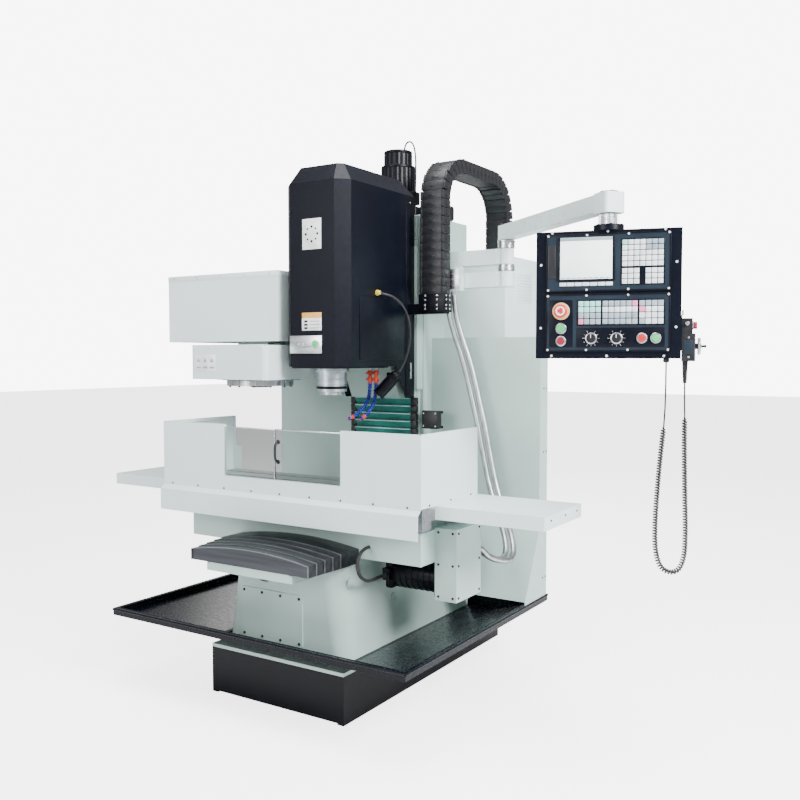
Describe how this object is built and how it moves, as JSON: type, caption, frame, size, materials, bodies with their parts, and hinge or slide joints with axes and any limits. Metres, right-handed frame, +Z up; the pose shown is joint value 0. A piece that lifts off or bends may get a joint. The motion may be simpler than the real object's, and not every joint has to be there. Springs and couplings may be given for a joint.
{
  "type": "vertical milling machine",
  "caption": "CNC bed-type vertical mill with a moving saddle and table, sliding head, side tool magazine, splash guards and a control panel on a swing arm.",
  "frame": {"origin": "on the floor at the centre of the plinth", "axes": "+Z up, +Y from the operator towards the column, +X to the operator's right"},
  "size_m": [2.6328, 1.7034, 2.4101],
  "materials": {
    "mint_paint": "semi-gloss enamel on a casting",
    "white_sheet": "semi-gloss powder coat on folded sheet",
    "navy_paint": "gloss enamel on folded sheet",
    "black_paint": "satin black enamel",
    "machined_steel": "ground and machined",
    "table_iron": "scraped and milled cast iron",
    "cover_steel": "brushed sheet",
    "bellows_cloth": "coated cloth pleats",
    "black_plastic": "moulded nylon",
    "window_pane": "clear polycarbonate",
    "conduit_steel": "corrugated flexible conduit",
    "hose_plastic": "segmented coolant hose",
    "lamp_metal": "turned and anodised",
    "panel_face": "textured overlay",
    "red_plastic": "moulded",
    "green_plastic": "moulded",
    "knob_plastic": "moulded",
    "cord_rubber": "cord jacket"
  },
  "bodies": {
    "machine_frame": {"plinth": "black_paint", "base_casting": "mint_paint", "access_panel": "mint_paint", "chip_tray": "black_paint", "y_servo_motor": "black_paint", "y_cover_stage_0": "cover_steel", "column": "mint_paint", "z_servo_motor": "black_paint", "rear_splash_guard": "white_sheet", "electrical_cabinet": "white_sheet", "magazine_bracket": "mint_paint", "magazine_cover": "white_sheet", "arm_bracket": "white_sheet", "z_motor_cable": "cord_rubber", "cable_conduits": "conduit_steel"},
    "y_screw": {"y_ball_screw": "machined_steel"},
    "y_cover_1": {"y_cover_stage_1": "cover_steel"},
    "y_cover_2": {"y_cover_stage_2": "cover_steel"},
    "y_cover_3": {"y_cover_stage_3": "cover_steel"},
    "saddle": {"saddle": "mint_paint", "y_cover_stage_4": "cover_steel", "x_servo_motor": "black_paint", "x_drive_cover": "mint_paint", "x_motor_cable": "cord_rubber"},
    "x_screw": {"x_ball_screw": "machined_steel"},
    "table": {"table": "table_iron", "table_guard": "white_sheet", "guard_window_left": "window_pane", "wing_shelves": "white_sheet"},
    "window": {"guard_window_right": "window_pane"},
    "z_screw": {"z_ball_screw": "machined_steel"},
    "head": {"head_casting": "mint_paint", "head_cover": "navy_paint", "chain_bracket": "black_paint", "spindle_motor": "black_paint", "spindle_housing": "machined_steel", "coolant_nozzles": "hose_plastic", "work_lamp": "lamp_metal", "lamp_cable": "cord_rubber", "z_way_bellows": "bellows_cloth", "energy_chain": "black_plastic"},
    "spindle": {"spindle": "machined_steel"},
    "release_button": {"tool_release_button": "green_plastic"},
    "magazine": {"carousel_housing": "white_sheet"},
    "carousel": {"carousel": "machined_steel"},
    "swing_arm": {"swing_arm": "white_sheet"},
    "cabinet_door": {"cabinet_door": "white_sheet"},
    "panel": {"panel_housing": "navy_paint", "control_units": "panel_face", "pendant_body": "black_plastic", "cord_glands": "black_plastic", "pendant_cord": "cord_rubber", "pendant_cord_coil": "cord_rubber"},
    "e_stop": {"e_stop_button": "red_plastic"},
    "start_key": {"start_button": "green_plastic"},
    "stop_key": {"stop_button": "red_plastic"},
    "feed_knob": {"feed_knob": "knob_plastic"},
    "spindle_knob": {"spindle_knob": "knob_plastic"},
    "handwheel": {"pendant_handwheel": "knob_plastic"},
    "selector": {"pendant_selector": "knob_plastic"}
  },
  "joints": [
    {"name": "y_slide", "type": "slide", "parent": "machine_frame", "child": "saddle", "axis": [0, 1, 0], "range_m": [-0.17, 0.23], "deforming": ["cable_conduits"]},
    {"name": "y_cover_1_slide", "type": "slide", "parent": "machine_frame", "child": "y_cover_1", "axis": [0, 1, 0], "range_m": [-0.0425, 0.0575]},
    {"name": "y_cover_2_slide", "type": "slide", "parent": "machine_frame", "child": "y_cover_2", "axis": [0, 1, 0], "range_m": [-0.085, 0.115]},
    {"name": "y_cover_3_slide", "type": "slide", "parent": "machine_frame", "child": "y_cover_3", "axis": [0, 1, 0], "range_m": [-0.1275, 0.1725]},
    {"name": "y_screw_turn", "type": "hinge", "parent": "machine_frame", "child": "y_screw", "pos_m": [0, -0.1, 0.5], "axis": [0, 1, 0], "continuous": true},
    {"name": "x_slide", "type": "slide", "parent": "saddle", "child": "table", "axis": [1, 0, 0], "range_m": [-0.4, 0.28]},
    {"name": "x_screw_turn", "type": "hinge", "parent": "saddle", "child": "x_screw", "pos_m": [0, -0.35, 0.69], "axis": [1, 0, 0], "continuous": true},
    {"name": "window_slide", "type": "slide", "parent": "table", "child": "window", "axis": [1, 0, 0], "range_m": [0, 0.25]},
    {"name": "z_slide", "type": "slide", "parent": "machine_frame", "child": "head", "axis": [0, 0, 1], "range_m": [-0.22, 0.245], "deforming": ["z_way_bellows", "energy_chain"]},
    {"name": "z_screw_turn", "type": "hinge", "parent": "machine_frame", "child": "z_screw", "pos_m": [0, 0.255, 1.5], "axis": [0, 0, 1], "continuous": true},
    {"name": "spindle_spin", "type": "hinge", "parent": "head", "child": "spindle", "pos_m": [0, -0.272, 1.4], "axis": [0, 0, 1], "continuous": true},
    {"name": "release_press", "type": "slide", "parent": "head", "child": "release_button", "axis": [0, 1, 0], "range_m": [0, 0.004], "stiffness_N_per_m": 400},
    {"name": "magazine_advance", "type": "slide", "parent": "machine_frame", "child": "magazine", "axis": [1, 0, 0], "range_m": [0, 0.01]},
    {"name": "carousel_spin", "type": "hinge", "parent": "magazine", "child": "carousel", "pos_m": [-0.403, -0.272, 1.35], "axis": [0, 0, 1], "continuous": true},
    {"name": "arm_swing", "type": "hinge", "parent": "machine_frame", "child": "swing_arm", "pos_m": [0.592, 0.202, 1.9], "axis": [0, 0, 1], "range_deg": [-35, 55]},
    {"name": "panel_swivel", "type": "hinge", "parent": "swing_arm", "child": "panel", "pos_m": [1.23, -0.308, 1.9], "axis": [0, 0, 1], "range_deg": [-60, 40]},
    {"name": "door_hinge", "type": "hinge", "parent": "machine_frame", "child": "cabinet_door", "pos_m": [-0.498, 0.851, 1.25], "axis": [0, 0, 1], "range_deg": [0, 110]},
    {"name": "e_stop_press", "type": "slide", "parent": "panel", "child": "e_stop", "axis": [-0.2756, 0.9613, 0], "range_m": [0, 0.006], "stiffness_N_per_m": 600},
    {"name": "start_press", "type": "slide", "parent": "panel", "child": "start_key", "axis": [-0.2756, 0.9613, 0], "range_m": [0, 0.003], "stiffness_N_per_m": 400},
    {"name": "stop_press", "type": "slide", "parent": "panel", "child": "stop_key", "axis": [-0.2756, 0.9613, 0], "range_m": [0, 0.003], "stiffness_N_per_m": 400},
    {"name": "feed_knob_turn", "type": "hinge", "parent": "panel", "child": "feed_knob", "pos_m": [1.19283, -0.37067, 1.463], "axis": [-0.2756, 0.9613, 0], "range_deg": [-150, 150]},
    {"name": "spindle_knob_turn", "type": "hinge", "parent": "panel", "child": "spindle_knob", "pos_m": [1.2755, -0.34697, 1.463], "axis": [-0.2756, 0.9613, 0], "range_deg": [-150, 150]},
    {"name": "handwheel_turn", "type": "hinge", "parent": "panel", "child": "handwheel", "pos_m": [1.51838, -0.22531, 1.435], "axis": [0.9613, 0.2756, 0], "continuous": true},
    {"name": "selector_turn", "type": "hinge", "parent": "panel", "child": "selector", "pos_m": [1.50877, -0.22807, 1.506], "axis": [0.9613, 0.2756, 0], "range_deg": [-60, 60]}
  ],
  "couplings": [
    {"joint": "y_cover_1_slide", "follows": "y_slide", "ratio": 0.25},
    {"joint": "y_cover_2_slide", "follows": "y_slide", "ratio": 0.5},
    {"joint": "y_cover_3_slide", "follows": "y_slide", "ratio": 0.75},
    {"joint": "y_screw_turn", "follows": "y_slide", "rad_per_m": 628.32},
    {"joint": "x_screw_turn", "follows": "x_slide", "rad_per_m": 628.32},
    {"joint": "z_screw_turn", "follows": "z_slide", "rad_per_m": 628.32}
  ]
}
